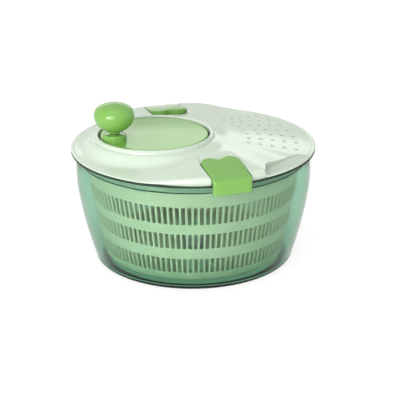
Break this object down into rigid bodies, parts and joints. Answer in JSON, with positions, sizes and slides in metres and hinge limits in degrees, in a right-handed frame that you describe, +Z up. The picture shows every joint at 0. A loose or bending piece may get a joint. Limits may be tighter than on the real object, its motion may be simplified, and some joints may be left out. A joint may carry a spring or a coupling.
{
  "type": "salad spinner",
  "caption": "Hand-cranked salad spinner: clear bowl, slotted basket, lid with a geared crank disc and ball knob, see-saw clips, drain holes and a pour recess.",
  "frame": {"origin": "centre of the base, on the surface that the spinner stands on", "axes": "+Z up along the bowl's axis, -Y towards the front clip, -X towards the crank well"},
  "size_m": [0.249, 0.256, 0.1718],
  "materials": {
    "bowl_clear": "polished clear green tinted plastic",
    "basket_plastic": "moulded satin gloss",
    "lid_plastic": "polished moulded gloss",
    "green_plastic": "polished moulded gloss",
    "seal_rubber": "matt",
    "foot_rubber": "matt",
    "steel": "ground",
    "screw_steel": "bright plated",
    "spring_steel": "rolled strip",
    "bush_plastic": "moulded",
    "gear_plastic": "moulded",
    "inner_plastic": "moulded"
  },
  "bodies": {
    "bowl": {"bowl": "bowl_clear", "bowl_pivot_pin": "steel", "non_slip_ring": "foot_rubber"},
    "basket": {"basket": "basket_plastic", "basket_hub_bush": "bush_plastic"},
    "lid": {"lid": "lid_plastic", "rim_seal": "seal_rubber", "gear_cover": "inner_plastic", "gear_cover_screws": "screw_steel", "crank_bush": "bush_plastic", "driver_bush": "bush_plastic", "front_clip_pin": "steel", "rear_clip_pin": "steel", "front_clip_spring": "spring_steel", "rear_clip_spring": "spring_steel"},
    "crank": {"crank_disc": "green_plastic", "crank_gear": "gear_plastic", "crank_washer": "steel", "crank_screw": "screw_steel", "knob_stud": "steel"},
    "knob": {"knob_collar": "green_plastic", "knob_cap": "green_plastic"},
    "driver": {"drive_pinion": "gear_plastic", "driver_spider": "inner_plastic", "driver_screw": "screw_steel"},
    "front_clip": {"front_clip": "green_plastic"},
    "rear_clip": {"rear_clip": "green_plastic"}
  },
  "joints": [
    {"name": "lid_lift", "type": "slide", "parent": "bowl", "child": "lid", "axis": [0, 0, 1], "range_m": [0, 0.18]},
    {"name": "basket_spin", "type": "hinge", "parent": "bowl", "child": "basket", "pos_m": [0, 0, 0], "axis": [0, 0, 1], "continuous": true},
    {"name": "crank_spin", "type": "hinge", "parent": "lid", "child": "crank", "pos_m": [-0.041, 0, 0], "axis": [0, 0, 1], "continuous": true},
    {"name": "driver_spin", "type": "hinge", "parent": "lid", "child": "driver", "pos_m": [0, 0, 0], "axis": [0, 0, 1], "continuous": true},
    {"name": "knob_spin", "type": "hinge", "parent": "crank", "child": "knob", "pos_m": [-0.08347, -0.00673, 0.145], "axis": [0, 0, 1], "continuous": true},
    {"name": "front_clip_press", "type": "hinge", "parent": "lid", "child": "front_clip", "pos_m": [0, -0.1085, 0.1176], "axis": [-1, 0, 0], "range_deg": [0, 7], "stiffness_Nm_per_rad": 1.5, "springref_deg": -3.44, "deforming": ["front_clip_spring"]},
    {"name": "rear_clip_press", "type": "hinge", "parent": "lid", "child": "rear_clip", "pos_m": [0, 0.1085, 0.1176], "axis": [1, 0, 0], "range_deg": [0, 7], "stiffness_Nm_per_rad": 1.5, "springref_deg": -3.44, "deforming": ["rear_clip_spring"]}
  ],
  "couplings": [
    {"joint": "crank_spin", "follows": "basket_spin", "ratio": -0.28125},
    {"joint": "driver_spin", "follows": "basket_spin", "ratio": 1}
  ]
}
